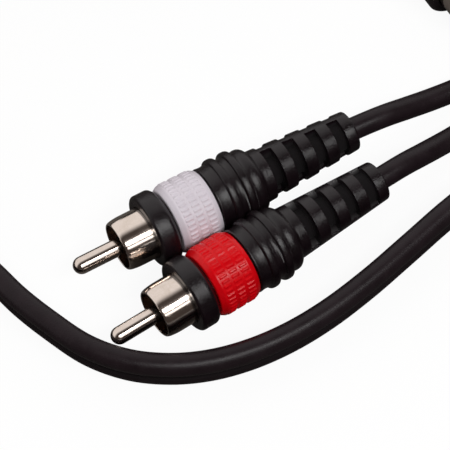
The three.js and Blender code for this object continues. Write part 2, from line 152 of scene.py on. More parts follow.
class SurfaceEffects:
    """Shader groups shared by the finishes, each built once."""

    def __init__(self) -> None:
        """Builds the groups."""
        self.grain = self._build_grain()
        self.streaks = self._build_streaks()

    @staticmethod
    def _new_group(name: str, inputs: GroupInputs) -> bpy.types.NodeTree:
        """Makes a group that is to put out a colour, a roughness and a normal.

        Args:
            name: Name of the group.
            inputs: Socket kind and default value of each input, by name.

        Returns:
            The node group, with its sockets and nothing between them.
        """
        group = bpy.data.node_groups.new(name, "ShaderNodeTree")
        for label, (kind, value) in inputs.items():
            socket = group.interface.new_socket(name=label, in_out="INPUT", socket_type=kind)
            socket.default_value = value
        for label, kind in (("Colour", "Color"), ("Roughness", "Float"), ("Normal", "Vector")):
            group.interface.new_socket(name=label, in_out="OUTPUT", socket_type=f"NodeSocket{kind}")
        add_node(group, "NodeGroupInput", -900, 0)
        add_node(group, "NodeGroupOutput", 700, 0)
        return group

    @staticmethod
    def _uneven_gloss(group: bpy.types.NodeTree, change: bpy.types.NodeSocket) -> bpy.types.NodeSocket:
        """Adds the roughness that moves with a pattern.

        Args:
            group: The group, with the inputs Roughness and Roughness Spread.
            change: The pattern's value.

        Returns:
            The socket that gives the roughness.
        """
        source = group.nodes["Group Input"].outputs
        gloss = add_node(group, "ShaderNodeMath", 0, 100, operation="MULTIPLY_ADD", use_clamp=True)
        group.links.new(change, gloss.inputs[0])
        group.links.new(source["Roughness Spread"], gloss.inputs[1])
        group.links.new(source["Roughness"], gloss.inputs[2])
        return gloss.outputs[0]

    @staticmethod
    def _raise_surface(
        group: bpy.types.NodeTree, height: bpy.types.NodeSocket, distance: bpy.types.NodeSocket
    ) -> None:
        """Bumps the group's normal.

        Args:
            group: The group.
            height: The pattern that stands out.
            distance: How far it stands out, in metres.
        """
        bump = add_node(group, "ShaderNodeBump", 0, -200)
        group.links.new(height, bump.inputs["Height"])
        group.links.new(distance, bump.inputs["Distance"])
        group.links.new(bump.outputs["Normal"], group.nodes["Group Output"].inputs["Normal"])

    def _build_grain(self) -> bpy.types.NodeTree:
        """Builds the group for moulded surfaces: mottled colour, uneven gloss, a fine grain and painted shade
        in hollows.

        Where a piece carries the attribute that marks its painted shade, from 0 to 1, it grows darker with
        painted shade and duller.

        Returns:
            The group.
        """
        group = self._new_group(
            "Moulded grain",
            {
                "Colour": ("NodeSocketColor", (0.5, 0.5, 0.5, 1.0)),
                "Mottle": ("NodeSocketFloat", 0.2),
                "Mottle Scale": ("NodeSocketFloat", 300.0),
                "Roughness": ("NodeSocketFloat", 0.4),
                "Roughness Spread": ("NodeSocketFloat", 0.1),
                "Grain Scale": ("NodeSocketFloat", 4000.0),
                "Grain Height": ("NodeSocketFloat", 0.00002),
            },
        )
        links = group.links
        source = group.nodes["Group Input"].outputs
        result = group.nodes["Group Output"].inputs
        place = add_node(group, "ShaderNodeTexCoord", -900, -300)
        cloud = add_node(group, "ShaderNodeTexNoise", -650, 200)
        set_inputs(cloud, Detail=4.0, Roughness=0.6)
        links.new(place.outputs["Object"], cloud.inputs["Vector"])
        links.new(source["Mottle Scale"], cloud.inputs["Scale"])
        spread = add_node(group, "ShaderNodeMapRange", -450, 200)
        set_inputs(spread, From_Min=0.3, From_Max=0.7, To_Min=-1.0, To_Max=1.0)
        links.new(cloud.outputs["Fac"], spread.inputs["Value"])
        depth = add_node(group, "ShaderNodeMath", -250, 300, operation="MULTIPLY_ADD")
        links.new(spread.outputs["Result"], depth.inputs[0])
        links.new(source["Mottle"], depth.inputs[1])
        depth.inputs[2].default_value = 1.0
        tint = add_node(group, "ShaderNodeVectorMath", 0, 300, operation="SCALE")
        links.new(source["Colour"], tint.inputs[0])
        links.new(depth.outputs[0], tint.inputs["Scale"])
        # Painted shade: the attribute read here darkens the colour down to 0.45 where it is 1, and also
        # raises the roughness
        painted_shade_and_dullness = add_node(group, "ShaderNodeAttribute", -250, 550, attribute_name="painted_shade_and_dullness")
        painted_shade_factor = add_node(group, "ShaderNodeMapRange", -50, 550)
        set_inputs(painted_shade_factor, To_Min=1.0, To_Max=0.45)
        links.new(painted_shade_and_dullness.outputs["Fac"], painted_shade_factor.inputs["Value"])
        shade = add_node(group, "ShaderNodeVectorMath", 200, 300, operation="SCALE")
        links.new(tint.outputs[0], shade.inputs[0])
        links.new(painted_shade_factor.outputs["Result"], shade.inputs["Scale"])
        links.new(shade.outputs[0], result["Colour"])
        dull = add_node(group, "ShaderNodeMath", 200, 100, operation="MAXIMUM")
        links.new(self._uneven_gloss(group, spread.outputs["Result"]), dull.inputs[0])
        links.new(painted_shade_and_dullness.outputs["Fac"], dull.inputs[1])
        links.new(dull.outputs[0], result["Roughness"])
        fine = add_node(group, "ShaderNodeTexNoise", -650, -200)
        set_inputs(fine, Detail=3.0, Roughness=0.65)
        links.new(place.outputs["Object"], fine.inputs["Vector"])
        links.new(source["Grain Scale"], fine.inputs["Scale"])
        self._raise_surface(group, fine.outputs["Fac"], source["Grain Height"])
        return group

    def _build_streaks(self) -> bpy.types.NodeTree:
        """Builds the group for drawn and turned metal: light tarnish, and fine bands round the axis.

        The bands follow the attribute "station", each point's place along the plug's axis.

        Returns:
            The group.
        """
        group = self._new_group(
            "Turned streaks",
            {
                "Colour": ("NodeSocketColor", (0.7, 0.65, 0.6, 1.0)),
                "Tarnish Colour": ("NodeSocketColor", (0.5, 0.42, 0.35, 1.0)),
                "Tarnish": ("NodeSocketFloat", 0.3),
                "Roughness": ("NodeSocketFloat", 0.15),
                "Roughness Spread": ("NodeSocketFloat", 0.08),
                "Band Height": ("NodeSocketFloat", 0.000002),
            },
        )
        links = group.links
        source = group.nodes["Group Input"].outputs
        result = group.nodes["Group Output"].inputs
        place = add_node(group, "ShaderNodeTexCoord", -900, -300)
        station = add_node(group, "ShaderNodeAttribute", -900, -500, attribute_name="station")
        bands = add_node(group, "ShaderNodeTexNoise", -650, -400, noise_dimensions="1D")
        set_inputs(bands, Scale=9000.0, Detail=3.0, Roughness=0.7)
        links.new(station.outputs["Fac"], bands.inputs["W"])
        cloud = add_node(group, "ShaderNodeTexNoise", -650, 200)
        set_inputs(cloud, Scale=420.0, Detail=5.0, Roughness=0.65)
        links.new(place.outputs["Object"], cloud.inputs["Vector"])
        patch = add_node(group, "ShaderNodeMapRange", -450, 200)
        set_inputs(patch, From_Min=0.45, From_Max=0.75)
        links.new(cloud.outputs["Fac"], patch.inputs["Value"])
        amount = add_node(group, "ShaderNodeMath", -250, 200, operation="MULTIPLY", use_clamp=True)
        links.new(patch.outputs["Result"], amount.inputs[0])
        links.new(source["Tarnish"], amount.inputs[1])
        mix = add_node(group, "ShaderNodeMix", 0, 300, data_type="RGBA")
        links.new(amount.outputs[0], mix.inputs["Factor"])
        links.new(source["Colour"], mix.inputs[MIX_FIRST])
        links.new(source["Tarnish Colour"], mix.inputs[MIX_SECOND])
        links.new(mix.outputs[MIX_RESULT], result["Colour"])
        links.new(self._uneven_gloss(group, patch.outputs["Result"]), result["Roughness"])
        self._raise_surface(group, bands.outputs["Fac"], source["Band Height"])
        return group


@dataclass(frozen=True)
class MouldedFinish:
    """A moulded plastic: its colour, gloss and the grain of its surface."""

    name: str
    colour: Colour
    roughness: float
    mottle: float = 0.12
    roughness_spread: float = 0.06
    grain_scale: float = 4000.0
    grain_height: float = 0.00002
    specular: float = 0.5

    def build(self, effects: SurfaceEffects) -> bpy.types.Material:
        """Builds the material.

        Args:
            effects: The shared shader groups.

        Returns:
            The material.
        """
        material, shader, _ = grouped_material(
            self.name,
            effects.grain,
            Colour=(*self.colour, 1.0),
            Mottle=self.mottle,
            Roughness=self.roughness,
            Roughness_Spread=self.roughness_spread,
            Grain_Scale=self.grain_scale,
            Grain_Height=self.grain_height,
        )
        set_inputs(shader, Specular_IOR_Level=self.specular)
        return material


@dataclass(frozen=True)
class MetalFinish:
    """A drawn or turned metal with its plating colour, light tarnish and fine bands."""

    name: str
    colour: Colour
    tarnish_colour: Colour
    tarnish: float
    roughness: float
    roughness_spread: float = 0.06
    band_height: float = 0.0000015

    def build(self, effects: SurfaceEffects) -> bpy.types.Material:
        """Builds the material.

        Args:
            effects: The shared shader groups.

        Returns:
            The material.
        """
        material, shader, _ = grouped_material(
            self.name,
            effects.streaks,
            Colour=(*self.colour, 1.0),
            Tarnish_Colour=(*self.tarnish_colour, 1.0),
            Tarnish=self.tarnish,
            Roughness=self.roughness,
            Roughness_Spread=self.roughness_spread,
            Band_Height=self.band_height,
        )
        set_inputs(shader, Metallic=1.0)
        return material


@dataclass(frozen=True)
class WovenFinish:
    """A woven strap: its colour and the threads that cross in it."""

    name: str
    colour: Colour
    mottle: float = 0.3
    roughness: float = 0.85
    fuzz_height: float = 0.00003
    thread_pitch: float = 0.0027
    thread_height: float = 0.0001

    def build(self, effects: SurfaceEffects) -> bpy.types.Material:
        """Builds the material.

        Args:
            effects: The shared shader groups.

        Returns:
            The material.
        """
        material, shader, grain = grouped_material(
            self.name,
            effects.grain,
            Colour=(*self.colour, 1.0),
            Mottle=self.mottle,
            Roughness=self.roughness,
            Grain_Height=self.fuzz_height,
        )
        tree = material.node_tree
        place = add_node(tree, "ShaderNodeTexCoord", -600, -300)
        weave = add_node(tree, "ShaderNodeTexWave", -300, -300, bands_direction="DIAGONAL")
        set_inputs(weave, Scale=1.0 / self.thread_pitch, Distortion=0.6, Detail=1.0)
        tree.links.new(place.outputs["Object"], weave.inputs["Vector"])
        bump = add_node(tree, "ShaderNodeBump", 100, -300)
        set_inputs(bump, Distance=self.thread_height)
        tree.links.new(weave.outputs["Fac"], bump.inputs["Height"])
        tree.links.new(grain.outputs["Normal"], bump.inputs["Normal"])
        tree.links.new(bump.outputs["Normal"], shader.inputs["Normal"])
        return material


FINISHES: dict[Slot, MouldedFinish | MetalFinish | WovenFinish] = {
    Slot.NICKEL: MetalFinish("Bright nickel plate", (0.74, 0.645, 0.58), (0.5, 0.4, 0.31), 0.4, 0.13),
    Slot.DARK_INSULATOR: MouldedFinish("Dark insulator", (0.11, 0.055, 0.03), 0.5),
    Slot.BLACK_MOULDING: MouldedFinish(
        "Black soft moulding",
        (0.0072, 0.004, 0.0053),
        0.2,
        mottle=0.3,
        roughness_spread=0.05,
        grain_scale=4200.0,
        grain_height=0.00006,
        specular=0.36,
    ),
    Slot.WHITE_RING: MouldedFinish(
        "Off-white ring moulding",
        (0.675, 0.625, 0.68),
        0.45,
        mottle=0.02,
        grain_height=0.000008,
        specular=0.35,
    ),
    Slot.RED_RING: MouldedFinish(
        "Red ring moulding",
        (0.64, 0.001, 0.005),
        0.25,
        mottle=0.06,
        grain_height=0.000008,
        specular=0.2,
    ),
    Slot.WIRE_INSULATION: MouldedFinish("Natural wire insulation", (0.62, 0.58, 0.5), 0.6),
    Slot.COPPER: MetalFinish("Bare copper strands", (0.85, 0.45, 0.27), (0.45, 0.2, 0.1), 0.5, 0.3),
    Slot.BLACK_JACKET: MouldedFinish(
        "Black cord jacket",
        (0.0135, 0.0084, 0.0104),
        0.36,
        mottle=0.2,
        grain_scale=2600.0,
        grain_height=0.00003,
        specular=0.2,
    ),
    Slot.TIE_STRAP: WovenFinish("Woven tie strap", (0.03, 0.03, 0.032)),
}


class FinishRack:
    """Holds the finished materials and puts them on the pieces."""

    def __init__(self) -> None:
        """Builds every finish of the record."""
        effects = SurfaceEffects()
        self.materials = {slot: finish.build(effects) for slot, finish in FINISHES.items()}

    def dress(self, piece: bpy.types.Object, slot: Slot) -> None:
        """Gives a new piece its only material.

        Args:
            piece: The piece to dress.
            slot: The record's slot it takes its finish from.
        """
        piece.data.materials.clear()
        piece.data.materials.append(self.materials[slot])

    def dress_node(self, name: str, slot: Slot) -> None:
        """Puts a finish on a CAD node that stays in view.

        Args:
            name: Name of the node.
            slot: The finish it gets.
        """
        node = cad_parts[name]
        if not node.material_slots:
            node.data.materials.append(self.materials[slot])
        for material_slot in node.material_slots:
            material_slot.material = self.materials[slot]


# Modelling helpers


def deselect_all() -> None:
    """Leaves no object selected."""
    bpy.ops.object.select_all(action="DESELECT")


def pick(piece: bpy.types.Object) -> None:
    """Selects one object alone and makes it active.

    Args:
        piece: The object.
    """
    deselect_all()
    piece.select_set(True)
    bpy.context.view_layer.objects.active = piece


@dataclass(frozen=True)
class Corner:
    """A corner of a turned profile, in millimetres: station along the axis, radius, and its rounding."""

    station: float
    radius: float
    rounding: float = 0.0


def rounded_profile(
    corners: list[Corner], closed: bool = False, steps: int = 4, hold: float = 0.05, most: float = 0.48
) -> list[Point2]:
    """Rounds the corners of a profile and holds the flat faces beside them flat.

    Args:
        corners: The corners in order.
        closed: Whether the last corner joins the first.
        steps: Straight pieces in each rounded corner.
        hold: How far from a rounded corner an extra point stands on the flat face, in millimetres.
        most: Largest share of a face that a rounding takes.

    Returns:
        The profile's points as station and radius, in millimetres.
    """
    points: list[Point2] = []
    count = len(corners)
    for i, corner in enumerate(corners):
        here = Vector((corner.station, corner.radius))
        at_end = not closed and i in (0, count - 1)
        if corner.rounding <= 0.0 or at_end:
            points.append((here.x, here.y))
            continue
        before = corners[i - 1]
        after = corners[(i + 1) % count]
        back = Vector((before.station, before.radius)) - here
        ahead = Vector((after.station, after.radius)) - here
        reach = min(corner.rounding, most * back.length, most * ahead.length)
        start = here + back.normalized() * reach
        end = here + ahead.normalized() * reach
        if back.length > 2 * (reach + hold):
            point = start + back.normalized() * hold
            points.append((point.x, point.y))
        for k in range(steps + 1):
            t = k / steps
            point = start * (1 - t) ** 2 + here * (2 * t * (1 - t)) + end * t**2
            points.append((point.x, point.y))
        if ahead.length > 2 * (reach + hold):
            point = end + ahead.normalized() * hold
            points.append((point.x, point.y))
    return points


def bead_corners(
    middle: float,
    base: float,
    rise: float,
    width: float,
    steps: int = 10,
    flatness: float = 0.7,
    foot: float = 0.08,
) -> list[Corner]:
    """Points of a flat-topped bead standing on a barrel, in millimetres.

    Args:
        middle: Station of the bead's middle.
        base: Radius of the barrel.
        rise: How far the bead stands out.
        width: Width of the bead.
        steps: Straight pieces in the bead.
        flatness: Power of the bead's section: 1 is round, and less is flatter on top.
        foot: How far from the bead the barrel is held straight.

    Returns:
        The corners of the bead, in order along the axis.
    """
    half = width / 2
    corners = [Corner(middle - half - foot, base)]
    for k in range(steps + 1):
        angle = math.pi * (1 - k / steps)
        across = math.copysign(abs(math.cos(angle)) ** flatness, math.cos(angle))
        up = max(0.0, math.sin(angle)) ** flatness
        corners.append(Corner(middle + half * across, base + rise * up))
    corners.append(Corner(middle + half + foot, base))
    return corners


def turn(
    name: str, profile: list[Point2], sides: int, closed: bool = False, weld: float = 2e-6
) -> bpy.types.Object:
    """Extrudes one point along a profile and spins it about the X axis.

    Args:
        name: Name of the piece.
        profile: Station and radius of each point, in millimetres.
        sides: Faces round the piece.
        closed: Whether the profile closes on itself, for a piece with a hole.
        weld: Points nearer than this, in metres, become one where the turn meets itself.

    Returns:
        The turned piece, with its axis along X and station 0 at the origin.
    """
    deselect_all()
    bpy.ops.mesh.primitive_plane_add(size=MM)
    piece = bpy.context.object
    piece.name = name
    piece.data.name = name
    bpy.ops.object.mode_set(mode="EDIT")
    bpy.ops.mesh.select_mode(type="VERT")
    bpy.ops.mesh.select_all(action="SELECT")
    bpy.ops.mesh.merge(type="CENTER")
    route = profile + [profile[0]] if closed else profile
    bpy.ops.transform.translate(value=(route[0][0] * MM, 0.0, route[0][1] * MM))
    for (x0, r0), (x1, r1) in zip(route, route[1:]):
        step = ((x1 - x0) * MM, 0.0, (r1 - r0) * MM)
        bpy.ops.mesh.extrude_region_move(TRANSFORM_OT_translate={"value": step})
    bpy.ops.mesh.select_all(action="SELECT")
    bpy.ops.mesh.spin(steps=sides, angle=math.tau, center=(0.0, 0.0, 0.0), axis=(1.0, 0.0, 0.0))
    bpy.ops.mesh.select_all(action="SELECT")
    bpy.ops.mesh.remove_doubles(threshold=weld)
    bpy.ops.mesh.normals_make_consistent(inside=False)
    bpy.ops.mesh.select_all(action="DESELECT")
    bpy.ops.object.mode_set(mode="OBJECT")
    return piece


def select_faces(piece: bpy.types.Object, wanted: Callable[[Vector], bool]) -> None:
    """Selects the faces of a piece by their place, in object mode.

    Args:
        piece: The piece.
        wanted: A test that takes a face's centre and says whether to select the face.
    """
    pick(piece)
    bpy.ops.object.mode_set(mode="EDIT")
    bpy.ops.mesh.select_mode(type="FACE")
    bpy.ops.mesh.select_all(action="DESELECT")
    bpy.ops.object.mode_set(mode="OBJECT")
    for face in piece.data.polygons:
        face.select = wanted(face.center)


def mark(piece: bpy.types.Object, name: str, values: list[float]) -> None:
    """Gives a piece an attribute with a value for each of its points."""
    attribute = piece.data.attributes.new(name, "FLOAT", "POINT")
    attribute.data.foreach_set("value", values)


def bearing(point: Vector) -> float:
    """Angle of a point about the X axis in degrees, from +Y towards +Z, 0 to 360."""
    return math.degrees(math.atan2(point.z, point.y)) % 360.0


def soften(piece: bpy.types.Object, width: float, angle: float, segments: int = 2) -> None:
    """Bevels the sharp edges of a piece and applies the bevel.

    Args:
        piece: The piece.
        width: Width of the bevel in millimetres.
        angle: Least bend of an edge that is bevelled, in degrees.
        segments: Faces across the bevel.
    """
    pick(piece)
    bpy.ops.object.modifier_add(type="BEVEL")
    bevel = piece.modifiers[-1]
    bevel.width = width * MM
    bevel.segments = segments
    bevel.limit_method = "ANGLE"
    bevel.angle_limit = math.radians(angle)
    bpy.ops.object.modifier_apply(modifier=bevel.name)


def smooth(piece: bpy.types.Object, angle: float = 32.0) -> None:
    """Shades a piece smooth, apart from edges sharper than an angle in degrees."""
    pick(piece)
    bpy.ops.object.shade_smooth_by_angle(angle=math.radians(angle))


def even_out(piece: bpy.types.Object) -> None:
    """Turns the shading of a bevelled piece towards its large faces, so that they look flat.

    Args:
        piece: The bevelled piece.
    """
    pick(piece)
    bpy.ops.object.modifier_add(type="WEIGHTED_NORMAL")
    weighted = piece.modifiers[-1]
    weighted.keep_sharp = True
    bpy.ops.object.modifier_apply(modifier=weighted.name)


@dataclass
class PlugSizes:
    """Stations and radii of a plug in millimetres, measured from the tip of its pin.

    The curl and the mouth's depth are measured from the front of the shell, the socket, chamber, beads
    and valleys from the front of the boot, and the shoulder's corners from the shoulder and the barrel.
    A fit is the gap round a piece in its socket, an end gap the one past its end, and an edge the rounding
    of a plain edge. A slope, or the ring's front or back, is a length along the axis and a drop in radius.
    """

    fit: float = 0.12
    loose_fit: float = 0.15
    end_gap: float = 0.25
    edge: float = 0.1
    pin_radius: float = 1.6
    shank_radius: float = 1.2
    collar_radius: float = 2.1
    collar_width: float = 0.75
    cup_bore: float = 0.7
    cup_depth: float = 3.0
    cup_end: float = 23.75
    shell_at: float = 8.85
    shell_radius: float = 4.85
    shell_wall: float = 0.4
    shell_end: float = 17.5
    eye_radius: float = 2.9
    lip_radius: float = 4.44
    lip_bore: float = 4.12
    lip_rounding: float = 0.18
    curl_at: float = 0.5
    curl_radius: float = 4.66
    curl_bore: float = 4.27
    mouth_depth: float = 1.9
    insulator_at: float = 14.65
    disc_width: float = 2.2
    disc_gap: float = 0.2
    dish_depth: float = 0.3
    dish_slant: float = 0.2
    hub_width: float = 0.8
    rim_width: float = 0.3
    spigot_end: float = 18.75
    flange_at: float = 14.7
    flange_rounding: float = 0.4
    flange_slope: Point2 = (0.8, 0.95)
    body_radius: float = 6.86
    sleeve_at: float = 18.75
    sleeve_radius: float = 5.0
    sleeve_bore: float = 3.8
    sleeve_reach: float = 1.8
    ring_at: float = 19.0
    ring_width: float = 8.1
    ring_radius: float = 6.6
    ring_front: Point2 = (1.0, 0.62)
    ring_back: Point2 = (0.85, 0.42)
    ribs_round: int = 44
    rib_faces: int = 3
    rib_rows: int = 3
    rib_length: float = 1.6
    rib_pitch: float = 2.05
    rib_shift: float = 0.1
    rib_height: float = 0.155
    rib_flank: float = 0.225
    boot_at: float = 27.35
    socket_depth: float = 2.05
    chamber_radius: float = 3.2
    chamber_depth: float = 6.4
    barrel_radius: float = 6.28
    beads_at: Point2 = (3.05, 6.0)
    bead_width: float = 1.6
    valleys_at: Point3 = (1.1, 4.52, 7.4)
    valley: float = 0.16
    shoulder_at: float = 35.75
    shoulder: tuple[Corner, ...] = (
        Corner(-0.4, -0.03, 0.2),
        Corner(0.35, -0.13, 0.3),
        Corner(0.95, -0.6, 0.35),
    )
    cone_at: float = 37.05
    cone_radius: float = 5.05
    boot_end: float = 56.9
    end_radius: float = 3.77
    slots: int = 4
    slot_at: float = 38.95
    slot_pitch: float = 4.496
    slot_width: float = 2.18
    slot_floor: float = 2.85
    slot_edge: float = 0.3
    web_width: float = 1.4
    cord_bore: float = 2.2
    cord_held: float = 7.4

    @property
    def ring_middle(self) -> float:
        """Station of the colour ring's middle, by which a plug is placed."""
        return self.ring_at + self.ring_width / 2


@dataclass
class PlugPlace:
    """Where a plug lies: the middle of its ring in millimetres, its direction and roll in degrees."""

    name: str
    channel: Channel
    x: float
    y: float
    yaw: float
    roll: float
    height: float = 6.886

    def matrix(self, sizes: PlugSizes) -> Matrix:
        """Matrix from the plug's own axis to its place on the table.

        Args:
            sizes: The plug's sizes.

        Returns:
            The matrix, in metres.
        """
        place = Matrix.Translation((self.x * MM, self.y * MM, self.height * MM))
        turn_to = Matrix.Rotation(math.radians(self.yaw), 4, "Z")
        back = Matrix.Translation((-sizes.ring_middle * MM, 0.0, 0.0))
        return place @ turn_to @ back @ Matrix.Rotation(math.radians(self.roll), 4, "X")

    def on_axis(self, sizes: PlugSizes, station: float) -> Vector:
        """Point on the plug's axis at a station in millimetres, in metres."""
        return self.matrix(sizes) @ Vector((station * MM, 0.0, 0.0))


@dataclass
class PlugKit:
    """Models the pieces of one plug once, with the axis along X, and sets copies of them in place."""

    rack: FinishRack
    sizes: PlugSizes = field(default_factory=PlugSizes)
    masters: dict[str, bpy.types.Object] = field(default_factory=dict)

    def build(self) -> None:
        """Models every piece of the plug."""
        self.masters = {
            "centre_pin": self._build_pin(),
            "ground_shell": self._build_shell(),
            "insulator": self._build_insulator(),
            "core_moulding": self._build_core(),
            "colour_ring": self._build_ring(),
            "boot": self._build_boot(),
        }
        for piece in self.masters.values():
            mark(piece, "station", [vertex.co.x for vertex in piece.data.vertices])

    def _build_pin(self) -> bpy.types.Object:
        """Turns the centre pin: domed tip, shank, collar and hollow solder cup.

        Returns:
            The pin on the plug's axis.
        """
        s = self.sizes
        step = s.insulator_at + s.disc_width
        collar_at = s.spigot_end + s.end_gap
        collar_end = collar_at + s.collar_width
        dome = [
            Corner(s.pin_radius * (1 - math.cos(a)), s.pin_radius * math.sin(a))
            for a in (math.radians(9 * k) for k in range(11))
        ]
        corners = dome + [
            Corner(step, s.pin_radius, s.edge),
            Corner(step, s.shank_radius),
            Corner(collar_at, s.shank_radius),
            Corner(collar_at, s.collar_radius, s.edge),
            Corner(collar_end, s.collar_radius, s.edge),
            Corner(collar_end, s.shank_radius),
            Corner(s.cup_end, s.shank_radius, s.edge),
            Corner(s.cup_end, s.cup_bore),
            Corner(s.cup_end - s.cup_depth, s.cup_bore),
            Corner(s.cup_end - s.cup_depth, 0.0),
        ]
        pin = turn("pin_master", rounded_profile(corners), 48)
        smooth(pin)
        return pin

    def _build_shell(self) -> bpy.types.Object:
        """Turns the ground shell, a thin drawn cup whose mouth is rolled in.

        Returns:
            The shell on the plug's axis.
        """
        s = self.sizes
        inner = s.shell_radius - s.shell_wall
        corners = [
            Corner(s.shell_at, s.lip_radius, s.lip_rounding),
            Corner(s.shell_at + s.curl_at, s.curl_radius, 0.4),
            Corner(s.shell_at + s.mouth_depth, s.shell_radius, 1.0),
            Corner(s.shell_end, s.shell_radius, 0.4),
            Corner(s.shell_end, s.eye_radius),
            Corner(s.shell_end - s.shell_wall, s.eye_radius),
            Corner(s.shell_end - s.shell_wall, inner, 0.2),
            Corner(s.shell_at + s.mouth_depth, inner, 1.0),
            Corner(s.shell_at + s.curl_at, s.curl_bore, 0.4),
            Corner(s.shell_at, s.lip_bore, s.lip_rounding),
        ]
        shell = turn("shell_master", rounded_profile(corners, closed=True), 96, closed=True)
        smooth(shell, 40.0)
        return shell

    def _build_insulator(self) -> bpy.types.Object:
        """Turns the stepped disc that holds the pin in the shell, with a shallow dish in its front.

        Returns:
            The disc on the plug's axis.
        """
        s = self.sizes
        outer = s.shell_radius - s.shell_wall - s.disc_gap
        spigot = s.eye_radius - s.disc_gap
        dish = s.insulator_at + s.dish_depth
        step = s.insulator_at + s.disc_width
        shank_bore = s.shank_radius + s.loose_fit
        hub = s.pin_radius + s.hub_width
        rim = outer - s.rim_width
        corners = [
            Corner(s.insulator_at, s.pin_radius + s.fit, s.edge),
            Corner(s.insulator_at, hub, s.edge),
            Corner(dish, hub + s.dish_slant, s.edge),
            Corner(dish, rim - s.dish_slant, s.edge),
            Corner(s.insulator_at, rim, s.edge),
            Corner(s.insulator_at, outer, s.edge),
            Corner(step, outer, s.edge),
            Corner(step, spigot),
            Corner(s.spigot_end, spigot, s.edge),
            Corner(s.spigot_end, shank_bore),
            Corner(step + s.end_gap, shank_bore),
            Corner(step + s.end_gap, s.pin_radius + s.fit),
        ]
        disc = turn("insulator_master", rounded_profile(corners, closed=True), 64, closed=True)
        smooth(disc)
        return disc

    def _build_core(self) -> bpy.types.Object:
        """Turns the core moulding: the rounded front flange and the sleeve under the ring.

        Returns:
            The moulding on the plug's axis.
        """
        s = self.sizes
        pocket = s.shell_radius + s.fit
        sleeve_end = s.boot_at + s.sleeve_reach
        front = s.flange_rounding
        slope, drop = s.flange_slope
        corners = [
            Corner(s.flange_at, pocket, 0.12),
            Corner(s.flange_at, s.body_radius - front, front),
            Corner(s.flange_at + front, s.body_radius, front),
            Corner(s.sleeve_at - slope, s.body_radius, 0.5),
            Corner(s.sleeve_at, s.body_radius - drop, 0.3),
            Corner(s.sleeve_at, s.sleeve_radius, s.edge),
            Corner(sleeve_end, s.sleeve_radius, s.edge),
            Corner(sleeve_end, s.sleeve_bore, s.edge),
            Corner(s.shell_end + s.end_gap, s.sleeve_bore),
            Corner(s.shell_end + s.end_gap, pocket),
        ]
        core = turn("core_master", rounded_profile(corners, closed=True, steps=6), 96, closed=True)
        smooth(core, 40.0)
        return core

    def _build_ring(self) -> bpy.types.Object:
        """Turns the colour ring and raises rows of small grip ribs out of it.

        Returns:
            The ring on the plug's axis.
        """
        s = self.sizes
        back = s.ring_at + s.ring_width
        bore = s.sleeve_radius + s.fit
        first = s.ring_middle + s.rib_shift - (s.rib_rows - 1) / 2 * s.rib_pitch
        rows = [first + row * s.rib_pitch for row in range(s.rib_rows)]
        half = s.rib_length / 2
        corners = [
            Corner(s.ring_at, bore, s.edge),
            Corner(s.ring_at, s.ring_radius - s.ring_front[1], 0.25),
            Corner(s.ring_at + s.ring_front[0], s.ring_radius, 0.4),
            *(Corner(row + side * half, s.ring_radius) for row in rows for side in (-1, 1)),
            Corner(back - s.ring_back[0], s.ring_radius, 0.4),
            Corner(back, s.ring_radius - s.ring_back[1], 0.25),
            Corner(back, bore, s.edge),
        ]
        sides = s.rib_faces * s.ribs_round
        ring = turn("ring_master", rounded_profile(corners, closed=True), sides, closed=True)

        def on_rib(centre: Vector) -> bool:
            """Whether a face lies on a rib's footprint.

            Args:
                centre: The face's centre.

            Returns:
                True for a rib's face.
            """
            on_top = math.hypot(centre.y, centre.z) > (s.ring_radius - s.edge) * MM
            in_row = any(abs(centre.x / MM - row) < half for row in rows)
            return on_top and in_row and int(bearing(centre) / (360.0 / sides)) % s.rib_faces != 0

        select_faces(ring, on_rib)
        bpy.ops.object.mode_set(mode="EDIT")
        bpy.ops.mesh.inset(thickness=s.rib_flank * MM, depth=s.rib_height * MM, use_boundary=True)
        bpy.ops.object.mode_set(mode="OBJECT")
        smooth(ring, 25.0)
        return ring

    def _barrel_corners(self) -> list[Corner]:
        """Corners of the boot's barrel: two beads, the valleys beside them and the shoulder.

        Returns:
            The corners, in order along the axis.
        """
        s = self.sizes
        rise = s.body_radius - s.barrel_radius
        beads = [bead_corners(s.boot_at + at, s.barrel_radius, rise, s.bead_width) for at in s.beads_at]
        valleys = [
            Corner(s.boot_at + at, s.barrel_radius - s.valley, rounding)
            for at, rounding in zip(s.valleys_at, (0.7, 0.4, 0.35))
        ]
        shoulder = [
            Corner(s.shoulder_at + corner.station, s.barrel_radius + corner.radius, corner.rounding)
            for corner in s.shoulder
        ]
        return [valleys[0], *beads[0], valleys[1], *beads[1], valleys[2], *shoulder]

    def _build_boot(self) -> bpy.types.Object:
        """Turns the boot, then sinks its slots and leaves two webs between the rings.

        Returns:
            The boot on the plug's axis.
        """
        s = self.sizes
        starts = [s.slot_at + i * s.slot_pitch for i in range(s.slots)]
        edges = [station for start in starts for station in (start, start + s.slot_width)]
        socket = s.sleeve_radius + s.loose_fit
        chamber_end = s.boot_at + s.chamber_depth
        corners = [
            Corner(s.boot_at, socket, s.edge),
            Corner(s.boot_at, s.barrel_radius, 0.3),
            *self._barrel_corners(),
            Corner(s.cone_at, s.cone_radius, 0.2),
            *(Corner(station, self._cone_radius(station)) for station in edges),
            Corner(s.boot_end, s.end_radius, 0.35),
            Corner(s.boot_end, s.cord_bore, s.edge),
            Corner(chamber_end, s.cord_bore),
            Corner(chamber_end, s.chamber_radius),
            Corner(s.boot_at + s.socket_depth, s.chamber_radius),
            Corner(s.boot_at + s.socket_depth, socket),
        ]
        boot = turn("boot_master", rounded_profile(corners, closed=True), 96, closed=True)
        for start in starts:
            self._sink_slot(boot, start)
        soften(boot, s.slot_edge, 38.0, 3)
        smooth(boot, 40.0)
        even_out(boot)
        # Painted shade: darkens the slots and makes them duller, deeper in darker
        self._mark_slot_shade_and_dullness(boot)
        return boot

